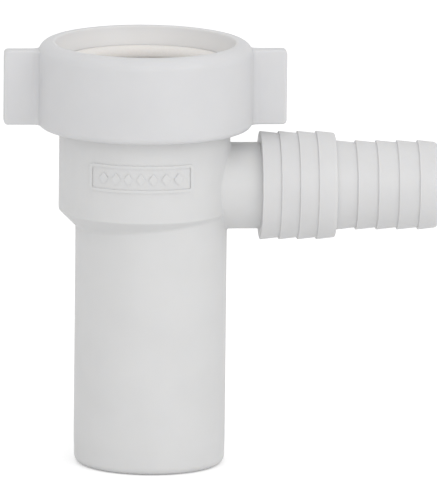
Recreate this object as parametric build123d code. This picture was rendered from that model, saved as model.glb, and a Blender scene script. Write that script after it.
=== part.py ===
"""Waste connector for a sink: a winged swivel nut on a flanged neck, a tee body and a hose nozzle.

Units are millimetres. The origin is the centre of the tail's lower end, +Z runs up the tail
towards the nut, and +X runs out along the branch towards the hose nozzle.
The tail stands on the Z axis. The chamber, the neck, the gasket and the nut share a second
upright axis, set back from the branch by axis_offset.
"""
import os

from build123d import *

# ---------------------------------------------------------------- waste pipe and tail
pipe_radius = 20.0            # 40 mm waste pipe: the tail and the neck
tail_wall = 2.6
tail_length = 63.4            # from the lower end to the foot of the chamber's cone
tail_taper_length = 6.6       # the lower end narrows a little, to start in a seal
tail_taper = 0.2
tail_end_round = 2.0
root_draft_length = 4.0       # below the cone the tail widens a little, for release from the mould
root_draft = 0.05

# ---------------------------------------------------------------- chamber
axis_offset = 1.9             # chamber axis behind the tail axis, away from the branch
branch_side_step = 0.7        # how far the chamber stands out beyond the tail on the branch side
cone_overlap = 0.3            # the 45 degree underside starts this far inside the tail's far side
water_way_step = 0.15         # the chamber's bore clears the tail's bore by this much
chamber_top_round = 0.5
chamber_foot_round = 0.5
cone_to_tail_blend = 1.0

# ---------------------------------------------------------------- flanged neck
neck_wall = 2.2
neck_above_chamber = 12.2     # from the chamber's top to the underside of the flange
neck_socket_depth = 5.2       # how deep the neck is bonded into the chamber
flange_step = 2.0             # how far the flange stands out beyond the neck
flange_thickness = 3.0

# ---------------------------------------------------------------- gasket
gasket_thickness = 2.9
gasket_width = 4.0

# ---------------------------------------------------------------- wing nut
nut_wall = 5.98               # from the thread's crests to the outside
nut_height = 22.75
nut_lip_thickness = 3.5       # inward lip that pulls on the flange
nut_top_round = 3.9
nut_foot_round = 1.4
nut_mouth_step = 1.48         # the mouth opens this far beyond the crests, to the thread's major radius
nut_mouth_depth = 4.8         # the smooth lead-in ends and the thread begins this far down
nut_mouth_round = 0.6
wing_beyond_nut = 8.95
wing_drop = 2.05              # the wings stop this far below the nut's top
wing_rise = 0.8               # and start this far above its foot
wing_thickness = 4.2
wing_corner_round = 1.1
wing_edge_round = 0.6
wing_root_flare = 1.0

# ---------------------------------------------------------------- branch stub
branch_above_foot = 6.1       # branch axis above the chamber's foot
stub_radius = 11.45
stub_wall = 1.45
stub_beyond_chamber = 7.9     # from the chamber's side to the stub's end face
stub_root_blend = 0.5

# ---------------------------------------------------------------- hose nozzle
spigot_wall = 1.35
spigot_length = 7.0           # how deep the nozzle is bonded into the stub
nozzle_wall = 2.65            # between the bore and the valleys of the small barbs
barb_step = 2.5               # the large barbs stand out this far beyond the small ones
large_barb_depth = 0.55
large_barb_pitch = 4.95
large_barb_count = 4
small_barb_depth = 0.6
small_barb_pitch = 5.48
small_barb_count = 5
nozzle_end_round = 1.3

# ---------------------------------------------------------------- raised frame on the chamber
frame_width = 27.5
frame_height = 7.2
frame_line = 0.75
frame_relief = 0.3
frame_corner_round = 1.2
frame_above_branch = 5.7
frame_turn = -6.0             # the frame stands this many degrees round from the -Y side
flow_mark_count = 7
flow_mark_pitch = 3.3
flow_mark_width = 2.4
flow_mark_height = 3.2

# ---------------------------------------------------------------- clearances
bond_gap = 0.05               # glue line around the neck and around the nozzle's spigot
nut_rest_gap = 0.1            # between the chamber's top and the nut above it
nut_lip_gap = 0.42            # between the nut's lip and the neck
flange_gap = 0.42             # between the nut's thread and the flange or the gasket
wing_swing_gap = 2.3          # between the turning wings and the largest barb
overrun = 1.0                 # how far a cutter runs past the face that it opens

# ---------------------------------------------------------------- derived radii
tail_bore_radius = pipe_radius - tail_wall
neck_bore_radius = pipe_radius - neck_wall
socket_radius = pipe_radius + bond_gap
chamber_radius = pipe_radius + axis_offset + branch_side_step
chamber_bore_radius = tail_bore_radius + axis_offset + water_way_step
flange_radius = pipe_radius + flange_step
thread_crest_radius = flange_radius + flange_gap     # 22.42, a G 1 1/2 female thread
nut_radius = thread_crest_radius + nut_wall
nut_lip_radius = pipe_radius + nut_lip_gap
nut_mouth_radius = thread_crest_radius + nut_mouth_step
wing_reach = nut_radius + wing_beyond_nut
stub_bore_radius = stub_radius - stub_wall
spigot_radius = stub_bore_radius - bond_gap
nozzle_bore_radius = spigot_radius - spigot_wall
small_barb_radius = nozzle_bore_radius + nozzle_wall + small_barb_depth
large_barb_radius = small_barb_radius + barb_step
stub_end = chamber_radius - axis_offset + stub_beyond_chamber

# ---------------------------------------------------------------- derived levels
chamber_cone_height = 2 * axis_offset + branch_side_step + cone_overlap
chamber_foot_z = tail_length + chamber_cone_height
branch_z = chamber_foot_z + branch_above_foot
wing_foot_z = branch_z + large_barb_radius + wing_swing_gap
nut_foot_z = wing_foot_z - wing_rise
nut_top_z = nut_foot_z + nut_height
wing_top_z = nut_top_z - wing_drop
chamber_top_z = nut_foot_z - nut_rest_gap
neck_seat_z = chamber_top_z - neck_socket_depth
flange_under_z = chamber_top_z + neck_above_chamber
flange_top_z = flange_under_z + flange_thickness
gasket_top_z = flange_top_z + gasket_thickness

chamber_axis = Pos(-axis_offset, 0, 0)
upwards = (Align.CENTER, Align.CENTER, Align.MIN)


def turned(*points):
    """Solid of revolution about Z of an outline of (radius, height) points."""
    corners = [(radius, 0, height) for radius, height in points]
    return revolve(make_face(Polyline(*corners, close=True)), Axis.Z, 360)


def tube(outer_radius, inner_radius, bottom, top):
    """Plain upright ring."""
    return turned((inner_radius, bottom), (outer_radius, bottom), (outer_radius, top), (inner_radius, top))


def branch_rod(radius, start, end):
    """Cylinder on the branch axis between two distances from the tail axis."""
    return Pos(start, 0, branch_z) * Rot(0, 90, 0) * Cylinder(radius, end - start, align=upwards)


def rim_edges(shape, height, radius):
    """Circular edges of an upright turned shape at one height and radius."""
    return [
        edge
        for edge in shape.edges().filter_by(GeomType.CIRCLE)
        if abs(edge.arc_center.Z - height) < 0.01 and abs(edge.radius - radius) < 0.01
    ]


# ---------------------------------------------------------------- tee body
def tail_outside():
    """The tail's solid outside, with its narrowed and rounded lower end."""
    end_radius = pipe_radius - tail_taper
    blank = turned(
        (0, 0),
        (end_radius, 0),
        (pipe_radius, tail_taper_length),
        (pipe_radius, tail_length - root_draft_length),
        (pipe_radius + root_draft, tail_length),
        (pipe_radius + root_draft, chamber_foot_z + overrun),
        (0, chamber_foot_z + overrun),
    )
    return fillet(rim_edges(blank, 0, end_radius), tail_end_round)


def chamber_outside():
    """The chamber's solid outside, with its 45 degree underside."""
    blank = turned(
        (0, tail_length),
        (chamber_radius - chamber_cone_height, tail_length),
        (chamber_radius, chamber_foot_z),
        (chamber_radius, chamber_top_z),
        (0, chamber_top_z),
    )
    blank = fillet(rim_edges(blank, chamber_top_z, chamber_radius), chamber_top_round)
    blank = fillet(rim_edges(blank, chamber_foot_z, chamber_radius), chamber_foot_round)
    return chamber_axis * blank


def cone_meets_tail(edge):
    """True for the slanting closed edge where the chamber's cone runs into the tail."""
    box = edge.bounding_box()
    goes_round = box.size.Y > pipe_radius
    return goes_round and tail_length - 1 < box.min.Z and box.size.Z > axis_offset


def stub_meets_body(edge):
    """True for the edges where the branch stub runs into the chamber, the cone and the tail."""
    box = edge.bounding_box()
    beside = box.min.X > 0 and max(abs(box.min.Y), abs(box.max.Y)) <= stub_radius + 0.01
    level = box.min.Z > branch_z - stub_radius - 0.01 and box.max.Z < branch_z + stub_radius + 0.01
    away = box.max.X < stub_end - 0.01
    return beside and level and away and edge.geom_type == GeomType.BSPLINE


def outside_of_body():
    """Tail, chamber and stub as one solid block, with their blends."""
    block = tail_outside() + chamber_outside()
    block = fillet(block.edges().filter_by(cone_meets_tail), cone_to_tail_blend)
    block += branch_rod(stub_radius, 0, stub_end)
    return fillet(block.edges().filter_by(stub_meets_body), stub_root_blend)


def chamber_hollow():
    """Neck socket, water way and the inner cone that leads down into the tail."""
    cone_foot_radius = tail_bore_radius - axis_offset
    cone_foot_z = chamber_foot_z - (chamber_bore_radius - cone_foot_radius)
    hollow = turned(
        (0, cone_foot_z),
        (cone_foot_radius, cone_foot_z),
        (chamber_bore_radius, chamber_foot_z),
        (chamber_bore_radius, neck_seat_z),
        (socket_radius, neck_seat_z),
        (socket_radius, chamber_top_z + overrun),
        (0, chamber_top_z + overrun),
    )
    return chamber_axis * hollow


def raised_frame():
    """Raised rounded frame on the chamber's front, around a row of plain flow marks."""
    sketch = RectangleRounded(frame_width, frame_height, frame_corner_round)
    sketch -= RectangleRounded(
        frame_width - 2 * frame_line, frame_height - 2 * frame_line, frame_corner_round - frame_line
    )
    half_width = flow_mark_width / 2
    half_height = flow_mark_height / 2
    mark = make_face(
        Polyline((-half_width, 0), (0, half_height), (half_width, 0), (0, -half_height), close=True)
    )
    for index in range(flow_mark_count):
        shift = (index - (flow_mark_count - 1) / 2) * flow_mark_pitch
        sketch += Pos(shift, 0) * mark
    middle = (0, 0, branch_z + frame_above_branch)
    front = Plane(origin=middle, x_dir=(1, 0, 0), z_dir=(0, -1, 0))
    column = extrude(front * sketch, amount=chamber_radius + overrun)
    skin = tube(chamber_radius + frame_relief, chamber_radius - frame_relief, chamber_foot_z, chamber_top_z)
    return chamber_axis * Rot(0, 0, frame_turn) * (column & skin)


def tee_body():
    """Chamber, tail and branch stub in one moulding, with all its water ways."""
    body = outside_of_body() - chamber_hollow()
    body -= Pos(0, 0, -overrun) * Cylinder(tail_bore_radius, chamber_foot_z + overrun, align=upwards)
    body -= branch_rod(stub_bore_radius, 0, stub_end + overrun)
    return body + raised_frame()


# ---------------------------------------------------------------- flanged neck and gasket
def flanged_neck():
    """Short tube bonded into the chamber, with the flange that the nut pulls up."""
    neck = turned(
        (neck_bore_radius, neck_seat_z),
        (pipe_radius, neck_seat_z),
        (pipe_radius, flange_under_z),
        (flange_radius, flange_under_z),
        (flange_radius, flange_top_z),
        (neck_bore_radius, flange_top_z),
    )
    return chamber_axis * neck


def gasket():
    """Flat sealing ring that lies on the flange."""
    ring = tube(flange_radius, flange_radius - gasket_width, flange_top_z, gasket_top_z)
    return chamber_axis * ring


# ---------------------------------------------------------------- wing nut
def nut_ring():
    """The nut's round wall with its inward lip and its smooth lead-in, before the wings."""
    lip_top_z = nut_foot_z + nut_lip_thickness
    ring = turned(
        (nut_lip_radius, nut_foot_z),
        (nut_radius, nut_foot_z),
        (nut_radius, nut_top_z),
        (nut_mouth_radius, nut_top_z),
        (thread_crest_radius, nut_top_z - nut_mouth_depth),
        (thread_crest_radius, lip_top_z),
        (nut_lip_radius, lip_top_z),
    )
    ring = fillet(rim_edges(ring, nut_top_z, nut_radius), nut_top_round)
    ring = fillet(rim_edges(ring, nut_foot_z, nut_radius), nut_foot_round)
    return fillet(rim_edges(ring, nut_top_z, nut_mouth_radius), nut_mouth_round)


def wing():
    """One flat wing towards +X, rooted inside the nut's wall, with a small flare at the root."""
    root = nut_radius - nut_wall / 2
    length = wing_reach - root
    height = wing_top_z - wing_foot_z
    plate = Pos(root + length / 2, 0, wing_foot_z + height / 2) * Box(length, wing_thickness, height)
    plate = fillet(plate.faces().sort_by(Axis.X)[-1].edges().filter_by(Axis.Y), wing_corner_round)
    cheeks = plate.faces().filter_by(Axis.Y)
    plate = fillet([edge for cheek in cheeks for edge in cheek.edges()], wing_edge_round)
    flare = Rectangle(nut_radius + wing_beyond_nut, wing_thickness, align=(Align.MIN, Align.CENTER))
    plan = Circle(nut_radius) + flare
    waist = [corner for corner in plan.vertices() if abs(Vector(corner).length - nut_radius) < 0.01]
    waist = [corner for corner in waist if abs(abs(corner.Y) - wing_thickness / 2) < 0.01]
    plan = fillet(waist, wing_root_flare) - Circle(nut_radius)
    plan &= Rectangle(nut_radius + 2 * wing_root_flare, nut_radius, align=(Align.MIN, Align.CENTER))
    straight_height = nut_height - nut_top_round - nut_foot_round
    return plate + Pos(0, 0, nut_foot_z + nut_foot_round) * extrude(plan, amount=straight_height)


def wing_nut():
    """Round nut and its two wings in one moulding."""
    nut = nut_ring()
    for turn in (0, 180):
        nut += Rot(0, 0, turn) * wing()
    return chamber_axis * nut


# ---------------------------------------------------------------- hose nozzle
def barb_row(start, tip_radius, depth, pitch, count):
    """Saw-tooth outline of a row of barbs, steep towards the body and falling outwards."""
    points = []
    for index in range(count):
        left = start + index * pitch
        points += [(left, tip_radius), (left + pitch, tip_radius - depth)]
    return points


def hose_nozzle():
    """Two rows of barbs on one bore, with a spigot that is bonded into the stub."""
    spigot_start = stub_end - spigot_length
    large_end = stub_end + large_barb_count * large_barb_pitch
    small_end = large_end + small_barb_count * small_barb_pitch
    points = [(spigot_start, nozzle_bore_radius), (spigot_start, spigot_radius), (stub_end, spigot_radius)]
    points += barb_row(stub_end, large_barb_radius, large_barb_depth, large_barb_pitch, large_barb_count)
    points += barb_row(large_end, small_barb_radius, small_barb_depth, small_barb_pitch, small_barb_count)
    points.append((small_end, nozzle_bore_radius))
    upright = turned(*[(radius, along) for along, radius in points])
    end_radius = small_barb_radius - small_barb_depth
    upright = fillet(rim_edges(upright, small_end, end_radius), nozzle_end_round)
    return Pos(0, 0, branch_z) * Rot(0, 90, 0) * upright


parts = {
    "tee_body": tee_body(),
    "flanged_neck": flanged_neck(),
    "gasket": gasket(),
    "wing_nut": wing_nut(),
    "hose_nozzle": hose_nozzle(),
}

os.makedirs("parts", exist_ok=True)
for name, shape in parts.items():
    export_step(shape, f"parts/{name}.step")
    low = shape.bounding_box().min
    high = shape.bounding_box().max
    print(f"{name}: {len(shape.solids())} solid, {shape.volume:.0f} mm3")
    print(f"  x {low.X:.2f} to {high.X:.2f}, y {low.Y:.2f} to {high.Y:.2f}, z {low.Z:.2f} to {high.Z:.2f}")
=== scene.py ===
# %% [markdown]
# # A sink waste connector in moulded white plastic
#
# This lesson dresses a small plumbing part: a winged swivel nut, the flanged neck it hangs on,
# a pale sealing ring, a tee body with a 40 mm tail, and a two-step hose nozzle.
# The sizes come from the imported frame. Here we only give each piece its fine shape and finish.
# Everything is in metres, with +Z up the tail and +X out along the nozzle.

# %% Load the frame
from math import atan2, cos, pi, radians, sin, sqrt, tan

import bmesh
import bpy
from mathutils import Matrix, Vector


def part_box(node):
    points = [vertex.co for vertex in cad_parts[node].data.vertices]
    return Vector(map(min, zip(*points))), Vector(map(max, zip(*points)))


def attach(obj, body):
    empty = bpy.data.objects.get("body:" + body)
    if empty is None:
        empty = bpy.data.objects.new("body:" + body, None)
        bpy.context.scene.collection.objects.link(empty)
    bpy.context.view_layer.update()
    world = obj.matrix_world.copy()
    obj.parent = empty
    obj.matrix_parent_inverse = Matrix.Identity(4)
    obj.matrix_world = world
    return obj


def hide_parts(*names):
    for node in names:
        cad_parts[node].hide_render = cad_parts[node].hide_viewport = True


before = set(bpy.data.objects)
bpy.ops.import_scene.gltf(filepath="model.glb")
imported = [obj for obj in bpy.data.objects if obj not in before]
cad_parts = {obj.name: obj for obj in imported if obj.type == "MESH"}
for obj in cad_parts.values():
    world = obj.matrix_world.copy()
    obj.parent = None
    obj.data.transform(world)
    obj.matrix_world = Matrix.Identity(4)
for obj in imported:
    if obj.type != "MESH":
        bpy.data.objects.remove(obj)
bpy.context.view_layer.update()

MM = 0.001

# %% [markdown]
# ## Reading the sizes
#
# Five pieces, two upright axes. The tail stands on the Z axis. The nut, the gasket, the neck and
# the chamber share an axis a little behind it. We read both axes and the main levels from the
# boxes of the CAD pieces, so they always agree with the frame. Walls, rounds and other small
# sizes can't be read from a box, so they are written where they are first needed.

# %% Key sizes
nut_low, nut_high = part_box("wing_nut")
neck_low, neck_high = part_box("flanged_neck")
gasket_low, gasket_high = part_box("gasket")
tee_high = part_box("tee_body")[1]
nozzle_low, nozzle_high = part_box("hose_nozzle")

nut_axis_x = (nut_low.x + nut_high.x) / 2
nut_radius = nut_high.y
nut_foot = nut_low.z
nut_top = nut_high.z
wing_reach = nut_high.x - nut_axis_x
flange_radius = neck_high.y
flange_top = neck_high.z
branch_z = (nozzle_low.z + nozzle_high.z) / 2
print("nut axis at x =", round(nut_axis_x / MM, 2), "mm, nut radius", round(nut_radius / MM, 2), "mm")
print("branch axis at z =", round(branch_z / MM, 2), "mm")

# %% [markdown]
# ## Drawing a turned piece
#
# A moulded tube or ring is the same outline all the way round, so a lathe suits it: we draw half
# the section once and spin it. The Screw modifier could spin a curve, but building the mesh
# ourselves lets us round each corner of the section by its own small radius. Those tiny rounds
# catch the light and are what makes plastic look moulded rather than cut.


# %% Soft corners for a section
def softened(corners, steps=5):
    """Closed outline of (radius, height) points from (radius, height, corner round) triples."""
    outline = []
    count = len(corners)
    for index, (x, y, size) in enumerate(corners):
        here = Vector((x, y))
        before = Vector(corners[index - 1][:2]) - here
        after = Vector(corners[(index + 1) % count][:2]) - here
        if size <= 0:
            outline.append((x, y))
            continue
        half_angle = before.angle(after) / 2
        reach = min(size / tan(half_angle), before.length * 0.9, after.length * 0.9)
        radius = reach * tan(half_angle)
        middle = here + (before.normalized() + after.normalized()).normalized() * (radius / sin(half_angle))
        start = here + before.normalized() * reach - middle
        end = here + after.normalized() * reach - middle
        sweep = start.angle_signed(end)
        for step in range(steps + 1):
            spoke = Matrix.Rotation(-sweep * step / steps, 2) @ start
            outline.append((middle.x + spoke.x, middle.y + spoke.y))
    return outline


# %% The lathe
def new_object(name, mesh_data, smooth_angle=40):
    """Link a mesh as an object, smooth it, and keep its real corners sharp."""
    mesh_data.polygons.foreach_set("use_smooth", [True] * len(mesh_data.polygons))
    mesh_data.set_sharp_from_angle(angle=radians(smooth_angle))
    piece = bpy.data.objects.new(name, mesh_data)
    bpy.context.scene.collection.objects.link(piece)
    return piece


def lathe_mesh(name, rings, segments):
    """Closed mesh from rings(angle), which gives the section's points at each angle."""
    points = []
    for turn in range(segments):
        angle = 2 * pi * turn / segments
        for radius, height in rings(angle):
            points.append((radius * cos(angle), radius * sin(angle), height))
    size = len(points) // segments
    faces = []
    for turn in range(segments):
        this = turn * size
        following = ((turn + 1) % segments) * size
        for row in range(size):
            above = (row + 1) % size
            faces.append((this + row, following + row, following + above, this + above))
    mesh = bpy.data.meshes.new(name)
    mesh.from_pydata(points, [], faces)
    builder = bmesh.new()
    builder.from_mesh(mesh)
    bmesh.ops.recalc_face_normals(builder, faces=builder.faces)
    builder.to_mesh(mesh)
    builder.free()
    return mesh


def upright(name, corners, axis_x, segments=192):
    """Turned piece on an upright axis at x = axis_x."""
    outline = softened(corners)
    mesh = lathe_mesh(name, lambda angle: outline, segments)
    mesh.transform(Matrix.Translation((axis_x, 0, 0)))
    return new_object(name, mesh)


# %% [markdown]
# ## The flanged neck and the gasket
#
# The neck is a short tube with a flange at its top, bonded into the chamber. The nut pulls the
# flange up against the sink's outlet, and the soft ring between them makes the seal. Both are
# plain turned pieces. The gasket's corners get larger rounds than the plastic's, because rubber
# never moulds to a crisp edge.

# %% Neck and gasket
neck_wall = 2.2 * MM
pipe_radius = 20.0 * MM
flange_thickness = 3.0 * MM
flange_under = flange_top - flange_thickness
neck = upright(
    "neck_and_flange",
    [
        (pipe_radius - neck_wall, neck_low.z, 0.3 * MM),
        (pipe_radius, neck_low.z, 0.3 * MM),
        (pipe_radius, flange_under, 0.5 * MM),
        (flange_radius, flange_under, 0.35 * MM),
        (flange_radius, flange_top, 0.35 * MM),
        (pipe_radius - neck_wall, flange_top, 0.5 * MM),
    ],
    nut_axis_x,
)
gasket_width = 4.0 * MM
gasket_inner = gasket_high.y - gasket_width
gasket = upright(
    "sealing_ring",
    [
        (gasket_inner, gasket_low.z, 0.5 * MM),
        (gasket_high.y, gasket_low.z, 0.5 * MM),
        (gasket_high.y, gasket_high.z, 0.6 * MM),
        (gasket_inner, gasket_high.z, 2.3 * MM),
    ],
    nut_axis_x,
)
for piece in (neck, gasket):
    print(piece.name, len(piece.data.polygons), "faces")

# %% [markdown]
# ## The nut's wall and its thread
#
# The nut has a G 1 1/2 female thread: one groove that winds up the bore, 2.309 mm each turn.
# A bump map would fake it, but the thread shows as soon as the ring is lifted out and has to cast
# its own shadows, so it is real geometry. The nut is still a lathe, only its bore is not the same
# at every angle: the groove's depth at a point depends on the height and on how far round it is.
# The groove fades out above the inward lip, where a real moulding core stops. At the mouth a
# smooth cone opens to the thread's major radius, which leads the outlet's thread in.

# %% Thread and nut ring
thread_crest = 22.42 * MM
thread_pitch = 2.309 * MM
thread_depth = 1.479 * MM
nut_lip_radius = 20.42 * MM
lip_top = nut_foot + 3.5 * MM
thread_start = lip_top + 1.2 * MM
mouth_radius = 23.9 * MM
mouth_depth = 4.8 * MM
bore_top = nut_top - mouth_depth
rows_per_turn = 14
lead_in_points = 11


def groove(height, angle):
    """Depth of the thread's groove below its crests, with rounded crest and root."""
    phase = (height / thread_pitch - angle / (2 * pi)) % 1.0
    flank = min(max((abs(2 * phase - 1) - 0.16) / 0.68, 0.0), 1.0)
    rounded = flank * flank * (3 - 2 * flank)
    start = min(max((height - thread_start) / (0.8 * thread_pitch), 0.0), 1.0)
    end = min(max((thread_top - height) / (0.5 * thread_pitch), 0.0), 1.0)
    return thread_depth * start * end * (0.45 * flank + 0.55 * rounded)


nut_outside = softened(
    [
        (thread_crest, bore_top, 0.8 * MM),
        (thread_crest, lip_top, 0.3 * MM),
        (nut_lip_radius, lip_top, 0.4 * MM),
        (nut_lip_radius, nut_foot, 0.4 * MM),
        (nut_radius, nut_foot, 1.8 * MM),
        (nut_radius, nut_top, 3.3 * MM),
        (mouth_radius, nut_top, 0.6 * MM),
    ],
    steps=lead_in_points - 1,
)
thread_top = nut_outside[lead_in_points - 1][1]
bore_rows = int((thread_top - lip_top) / thread_pitch * rows_per_turn)


def nut_rings(angle):
    """The nut's section at one angle: the lead-in, the threaded bore downwards, then the outside."""
    section = nut_outside[:lead_in_points]
    for row in range(1, bore_rows):
        height = thread_top - (thread_top - lip_top - 0.3 * MM) * row / bore_rows
        section.append((thread_crest + groove(height, angle), height))
    return section + nut_outside[lead_in_points:]


nut_mesh = lathe_mesh("nut_ring", nut_rings, 224)
nut_mesh.transform(Matrix.Translation((nut_axis_x, 0, 0)))
nut = new_object("nut_ring", nut_mesh, smooth_angle=50)
print("nut ring:", len(nut_mesh.polygons), "faces")

# %% [markdown]
# ## The wings
#
# Two flat wings give fingers a grip. Each is a plate that grows out of the nut's wall, with a
# small concave flare where it meets the round. We draw the plate's plan, flare included, extrude
# it up, and bevel twice: a larger round on the two outer corners, then a fine one on every edge
# that is still sharp.
# The root reaches inside the wall, so plate and wall read as one moulding.

# %% Wing plan and plate
wing_thickness = 4.2 * MM
wing_root = nut_radius - 3.0 * MM
wing_foot = nut_foot + 0.8 * MM
wing_top = nut_top - 2.05 * MM
flare = 2.2 * MM
wing_corner_round = 1.1 * MM
wing_edge_round = 0.5 * MM


def wing_plan():
    """Half of the wing's plan, from its root to its tip, on the +Y side."""
    half = wing_thickness / 2
    centre_x = sqrt((nut_radius + flare) ** 2 - (half + flare) ** 2)
    first = atan2(-(half + flare), -centre_x) + 2 * pi
    last = 1.5 * pi
    side = [(wing_root, half + flare * (1 - flare / nut_radius))]
    for step in range(7):
        angle = first + (last - first) * step / 6
        side.append((centre_x + flare * cos(angle), half + flare + flare * sin(angle)))
    side.append((wing_reach, half))
    return side


def wing(name, turn):
    """One wing, turned by an angle about the nut's axis."""
    side = wing_plan()
    plan = side + [(x, -y) for x, y in reversed(side)]
    builder = bmesh.new()
    floor_points = [builder.verts.new((x, y, wing_foot)) for x, y in plan]
    floor_face = builder.faces.new(floor_points)
    raised = bmesh.ops.extrude_face_region(builder, geom=[floor_face])
    lifted = [item for item in raised["geom"] if isinstance(item, bmesh.types.BMVert)]
    bmesh.ops.translate(builder, verts=lifted, vec=(0, 0, wing_top - wing_foot))
    bmesh.ops.recalc_face_normals(builder, faces=builder.faces)
    tips = [
        edge
        for edge in builder.edges
        if all(abs(corner.co.x - wing_reach) < 0.01 * MM for corner in edge.verts)
        and abs(edge.verts[0].co.z - edge.verts[1].co.z) < 0.01 * MM
    ]
    bmesh.ops.bevel(builder, geom=tips, offset=wing_corner_round, segments=6, profile=0.5, affect="EDGES")
    rims = [edge for edge in builder.edges if edge.calc_face_angle(0) > radians(60)]
    bmesh.ops.bevel(builder, geom=rims, offset=wing_edge_round, segments=3, profile=0.5, affect="EDGES")
    mesh = bpy.data.meshes.new(name)
    builder.to_mesh(mesh)
    builder.free()
    mesh.transform(Matrix.Rotation(turn, 4, "Z"))
    mesh.transform(Matrix.Translation((nut_axis_x, 0, 0)))
    return new_object(name, mesh)


wings = [wing("wing_right", 0), wing("wing_left", pi)]
print("wings:", [len(piece.data.polygons) for piece in wings], "faces")

# %% [markdown]
# ## The hose nozzle
#
# A hose is pushed over the barbs from the outer end, so each barb falls away outwards and is
# steep towards the body. It is a lathe again, this time lying on the branch axis. The crests get
# a round of a tenth or two of a millimetre: enough to draw a thin bright line round every barb.

# %% Barbed nozzle
stub_end = tee_high.x
spigot_radius = 9.95 * MM
nozzle_bore = 8.6 * MM


def barb_row(start, crest, depth, pitch, count, rounding):
    """Corners of a row of barbs, as (radius, distance, round)."""
    row = []
    for index in range(count):
        left = start + index * pitch
        row.append((crest, left, rounding))
        row.append((crest - depth, left + pitch, 0.1 * MM))
    return row


large_count = 4
large_crest = 14.35 * MM
large_depth = 0.55 * MM
large_pitch = 4.95 * MM
small_count = 5
small_crest = 11.85 * MM
small_depth = 0.6 * MM
small_pitch = 5.48 * MM
crest_round = 0.14 * MM
shoulder_round = 0.45 * MM
outer_end_round = 1.3 * MM
large_barbs = barb_row(stub_end, large_crest, large_depth, large_pitch, large_count, crest_round)
large_barbs[-1] = (*large_barbs[-1][:2], shoulder_round)
small_start = stub_end + large_count * large_pitch
small_barbs = barb_row(small_start, small_crest, small_depth, small_pitch, small_count, crest_round)
small_barbs[-1] = (*small_barbs[-1][:2], outer_end_round)
nozzle_corners = [
    (nozzle_bore, nozzle_low.x, 0.25 * MM),
    (spigot_radius, nozzle_low.x, 0.3 * MM),
    (spigot_radius, stub_end, 0.1 * MM),
    *large_barbs,
    *small_barbs,
    (nozzle_bore, nozzle_high.x, 0.4 * MM),
]
nozzle_outline = softened(nozzle_corners, steps=4)
nozzle_mesh = lathe_mesh("barbed_nozzle", lambda angle: nozzle_outline, 160)
nozzle_mesh.transform(Matrix.Rotation(pi / 2, 4, "Y"))
nozzle_mesh.transform(Matrix.Translation((0, 0, branch_z)))
nozzle = new_object("barbed_nozzle", nozzle_mesh)
print("nozzle:", len(nozzle_mesh.polygons), "faces")

# %% [markdown]
# ## Moulded white polypropylene
#
# The plastic is white but not paper white, a little translucent, and satin. Four things tell the
# eye that it is moulded: a faint unevenness of tone, a fine spark-eroded grain, shallow waves
# where thick walls shrank, and drag lines along the way the piece left its mould. All are
# procedural noises in the piece's own coordinates. Values that are the same everywhere, such as
# the subsurface weight, are set straight on the shader.
#
# The neck and the inside of the nut get a paler tone. It is not a different plastic: the paler
# tone stands in for the light that really comes through thin white walls.


# %% Plastic shader
def add_noise(tree, scale, detail, stretch=(1, 1, 1), roughness=0.5):
    """Noise texture in the piece's own coordinates; scale is in features per metre."""
    place = tree.nodes.new("ShaderNodeTexCoord")
    mapping = tree.nodes.new("ShaderNodeMapping")
    mapping.inputs["Scale"].default_value = stretch
    noise = tree.nodes.new("ShaderNodeTexNoise")
    noise.inputs["Scale"].default_value = scale
    noise.inputs["Detail"].default_value = detail
    noise.inputs["Roughness"].default_value = roughness
    tree.links.new(place.outputs["Object"], mapping.inputs["Vector"])
    tree.links.new(mapping.outputs["Vector"], noise.inputs["Vector"])
    return noise.outputs["Fac"]


def add_range(tree, value, low, high, start=0.3, end=0.7):
    """Stretch a noise's middle band to run from low to high."""
    node = tree.nodes.new("ShaderNodeMapRange")
    node.inputs["From Min"].default_value = start
    node.inputs["From Max"].default_value = end
    node.inputs["To Min"].default_value = low
    node.inputs["To Max"].default_value = high
    tree.links.new(value, node.inputs["Value"])
    return node.outputs["Result"]


def add_bump(tree, height, distance, strength, below=None):
    """Bump of a height in metres, laid over another bump if one is given."""
    node = tree.nodes.new("ShaderNodeBump")
    node.inputs["Distance"].default_value = distance
    node.inputs["Strength"].default_value = strength
    tree.links.new(height, node.inputs["Height"])
    if below is not None:
        tree.links.new(below, node.inputs["Normal"])
    return node.outputs["Normal"]


def add_tones(tree, value, first, second):
    """Colour that runs between two tones; the first may come from another node."""
    node = tree.nodes.new("ShaderNodeMix")
    node.data_type = "RGBA"
    first_socket, second_socket = [socket for socket in node.inputs if socket.type == "RGBA"]
    if isinstance(first, tuple):
        first_socket.default_value = (*first, 1)
    else:
        tree.links.new(first, first_socket)
    second_socket.default_value = (*second, 1)
    tree.links.new(value, node.inputs["Factor"])
    return [socket for socket in node.outputs if socket.type == "RGBA"][0]


def add_inside_mask(tree, axis_x, radius):
    """One within a radius of an upright axis, and nothing beyond, over a millimetre and a half."""
    place = tree.nodes.new("ShaderNodeTexCoord")
    across = tree.nodes.new("ShaderNodeVectorMath")
    across.operation = "MULTIPLY_ADD"
    across.inputs[1].default_value = (1, 1, 0)
    across.inputs[2].default_value = (-axis_x, 0, 0)
    distance = tree.nodes.new("ShaderNodeVectorMath")
    distance.operation = "LENGTH"
    tree.links.new(place.outputs["Object"], across.inputs[0])
    tree.links.new(across.outputs["Vector"], distance.inputs[0])
    return add_range(tree, distance.outputs["Value"], 1, 0, radius, radius + 1.5 * MM)


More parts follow.
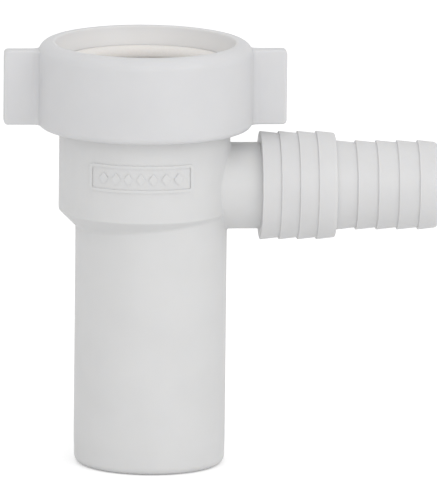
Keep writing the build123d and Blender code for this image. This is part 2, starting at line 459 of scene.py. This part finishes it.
def moulded_plastic(name, dark, light, drag, gloss=0.4, inside=None):
    """Satin white plastic; drag stretches the fine lines along the way it left the mould.

    inside is (axis_x, radius, tone): a paler tone within that radius of an upright axis.
    """
    material = bpy.data.materials.new(name)
    material.use_nodes = True
    tree = material.node_tree
    shader = tree.nodes["Principled BSDF"]
    shader.inputs["IOR"].default_value = 1.49
    shader.inputs["Subsurface Weight"].default_value = 0.25
    shader.inputs["Subsurface Radius"].default_value = (1.0, 0.9, 0.75)
    shader.inputs["Subsurface Scale"].default_value = 1.6 * MM
    tone = add_range(tree, add_noise(tree, 70, 3), 0, 1)
    colour = add_tones(tree, tone, dark, light)
    if inside is not None:
        axis_x, radius, inside_tone = inside
        colour = add_tones(tree, add_inside_mask(tree, axis_x, radius), colour, inside_tone)
    tree.links.new(colour, shader.inputs["Base Color"])
    lines = add_noise(tree, 900, 3, drag)
    tree.links.new(add_range(tree, lines, gloss - 0.05, gloss + 0.07), shader.inputs["Roughness"])
    waves = add_bump(tree, add_noise(tree, 85, 1), 0.05 * MM, 0.6)
    grain = add_bump(tree, add_noise(tree, 4200, 2), 0.012 * MM, 0.5, waves)
    drawn = add_bump(tree, lines, 0.01 * MM, 0.4, grain)
    tree.links.new(drawn, shader.inputs["Normal"])
    return material


up_and_down = (1, 1, 0.06)
along_nozzle = (0.06, 1, 1)
body_plastic = moulded_plastic(
    "body_white_plastic", (0.66, 0.66, 0.66), (0.685, 0.685, 0.685), up_and_down
)
nut_plastic = moulded_plastic(
    "nut_white_plastic",
    (0.645, 0.645, 0.655),
    (0.67, 0.67, 0.68),
    up_and_down,
    inside=(nut_axis_x, 23.2 * MM, (0.75, 0.74, 0.733)),
)
nozzle_plastic = moulded_plastic(
    "nozzle_white_plastic", (0.652, 0.65, 0.653), (0.677, 0.675, 0.678), along_nozzle
)
neck_plastic = moulded_plastic("neck_white_plastic", (0.84, 0.825, 0.80), (0.87, 0.855, 0.83), up_and_down)
print("plastics:", [material.name for material in bpy.data.materials if "plastic" in material.name])

# %% [markdown]
# ## Sealing rubber
#
# The ring is a soft pale rubber, duller than the plastic and a touch creamier. New seals are often
# dusted with fine talc to keep them from sticking. So it gets a rougher shader, and a much finer
# and fainter mottle than the plastic's, with a fine grain over it.


# %% Rubber shader
def sealing_rubber():
    """Matt cream rubber with a faint, fine mottle."""
    material = bpy.data.materials.new("sealing_rubber")
    material.use_nodes = True
    tree = material.node_tree
    shader = tree.nodes["Principled BSDF"]
    shader.inputs["IOR"].default_value = 1.45
    shader.inputs["Subsurface Weight"].default_value = 0.15
    shader.inputs["Subsurface Radius"].default_value = (1.0, 0.8, 0.6)
    shader.inputs["Subsurface Scale"].default_value = 1.0 * MM
    talc = add_range(tree, add_noise(tree, 1500, 5, roughness=0.7), 0, 1, 0.42, 0.62)
    colour = add_tones(tree, talc, (0.77, 0.745, 0.72), (0.795, 0.77, 0.745))
    tree.links.new(colour, shader.inputs["Base Color"])
    tree.links.new(add_range(tree, add_noise(tree, 500, 3), 0.62, 0.8), shader.inputs["Roughness"])
    skin = add_bump(tree, add_noise(tree, 2600, 4), 0.03 * MM, 0.3)
    tree.links.new(skin, shader.inputs["Normal"])
    return material


rubber = sealing_rubber()
print("rubber:", rubber.name)

# %% [markdown]
# ## Putting finishes on and pieces on their bodies
#
# Each piece takes one finish. A piece that stands for a CAD solid hides that solid, and rides on
# the body that carries that solid, so it turns or lifts with its joint.

# %% Finish, replace and ride


def finish(piece, material, body, slot, *nodes):
    """Give a piece its finish and its body, and hide the CAD solids that it stands for."""
    piece.data.materials.clear()
    piece.data.materials.append(material)
    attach(piece, body)
    if nodes:
        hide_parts(*nodes)


finish(neck, neck_plastic, "body", "neck_plastic", "flanged_neck")
finish(gasket, rubber, "gasket", "gasket_rubber", "gasket")
finish(nut, nut_plastic, "nut", "nut_plastic", "wing_nut")
for piece in wings:
    finish(piece, nut_plastic, "nut", "nut_plastic")
finish(nozzle, nozzle_plastic, "body", "nozzle_plastic", "hose_nozzle")

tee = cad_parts["tee_body"]
tee.data.materials.clear()
tee.data.materials.append(body_plastic)
print("pieces:", len([neck, gasket, nut, *wings, nozzle, tee]))

# %% [markdown]
# ## Floor, light and camera
#
# White plastic on a white ground only reads by its soft shading, so the light is broad: an even
# sky, a weak panel above, a large strong one in front and a small one at the right front. The
# left side falls off gently. The floor has a glow that only camera rays see. It makes the ground
# white in the picture, and adds no light to the undersides, which stay a little darker.
# The camera is far away with a long lens, which keeps uprights parallel, and looks down eleven
# degrees from just left of square on.

# %% Floor
floor_mesh = bpy.data.meshes.new("floor")
floor_half = 6.0
floor_corners = [(x * floor_half, y * floor_half, 0) for x, y in ((-1, -1), (1, -1), (1, 1), (-1, 1))]
floor_mesh.from_pydata(floor_corners, [], [(0, 1, 2, 3)])
floor = bpy.data.objects.new("floor", floor_mesh)
bpy.context.scene.collection.objects.link(floor)
floor_material = bpy.data.materials.new("floor_white")
floor_material.use_nodes = True
floor_shader = floor_material.node_tree.nodes["Principled BSDF"]
floor_shader.inputs["Base Color"].default_value = (0.88, 0.88, 0.88, 1)
floor_shader.inputs["Roughness"].default_value = 0.9
floor_shader.inputs["Emission Color"].default_value = (1, 1, 1, 1)
floor_rays = floor_material.node_tree.nodes.new("ShaderNodeLightPath")
floor_glow = floor_material.node_tree.nodes.new("ShaderNodeMath")
floor_glow.operation = "MULTIPLY"
floor_glow.inputs[1].default_value = 0.3
floor_material.node_tree.links.new(floor_rays.outputs["Is Camera Ray"], floor_glow.inputs[0])
floor_material.node_tree.links.new(floor_glow.outputs[0], floor_shader.inputs["Emission Strength"])
floor_mesh.materials.append(floor_material)

# %% Lights
middle = Vector((0.0179, 0.0, 0.057))


def panel(name, position, size, power):
    """Square soft light that faces the object."""
    light = bpy.data.lights.new(name, "AREA")
    light.shape = "SQUARE"
    light.size = size
    light.energy = power
    lamp = bpy.data.objects.new(name, light)
    lamp.location = position
    lamp.rotation_euler = (middle - Vector(position)).to_track_quat("-Z", "Y").to_euler()
    bpy.context.scene.collection.objects.link(lamp)


panel("top_panel", (0.0, 0.1, 1.4), 1.6, 1.5)
panel("right_front_panel", (1.0, -0.9, 0.7), 0.7, 2)
panel("front_panel", (0.1, -1.5, 0.6), 2.0, 8)
world = bpy.data.worlds.new("studio")
bpy.context.scene.world = world
world.use_nodes = True
world.node_tree.nodes["Background"].inputs["Color"].default_value = (1, 1, 1, 1)
world.node_tree.nodes["Background"].inputs["Strength"].default_value = 0.8

# %% Camera
azimuth = radians(-4)
elevation = radians(11)
distance = 4.0
view_width = 0.1155
back = Vector((sin(azimuth) * cos(elevation), -cos(azimuth) * cos(elevation), sin(elevation)))
camera_data = bpy.data.cameras.new("camera")
camera_data.sensor_fit = "HORIZONTAL"
camera_data.sensor_width = 36
camera_data.lens = 36 * distance / view_width
camera_data.clip_start = 0.05
camera_data.clip_end = 30
camera = bpy.data.objects.new("camera", camera_data)
camera.location = middle + back * distance
roll = Matrix.Rotation(radians(0.6), 4, "Z")
camera.matrix_world = (
    Matrix.Translation(camera.location) @ back.to_track_quat("Z", "Y").to_matrix().to_4x4() @ roll
)
bpy.context.scene.collection.objects.link(camera)
bpy.context.scene.camera = camera
bpy.context.scene.view_settings.view_transform = "Standard"
print("camera at", [round(value, 3) for value in camera.location])
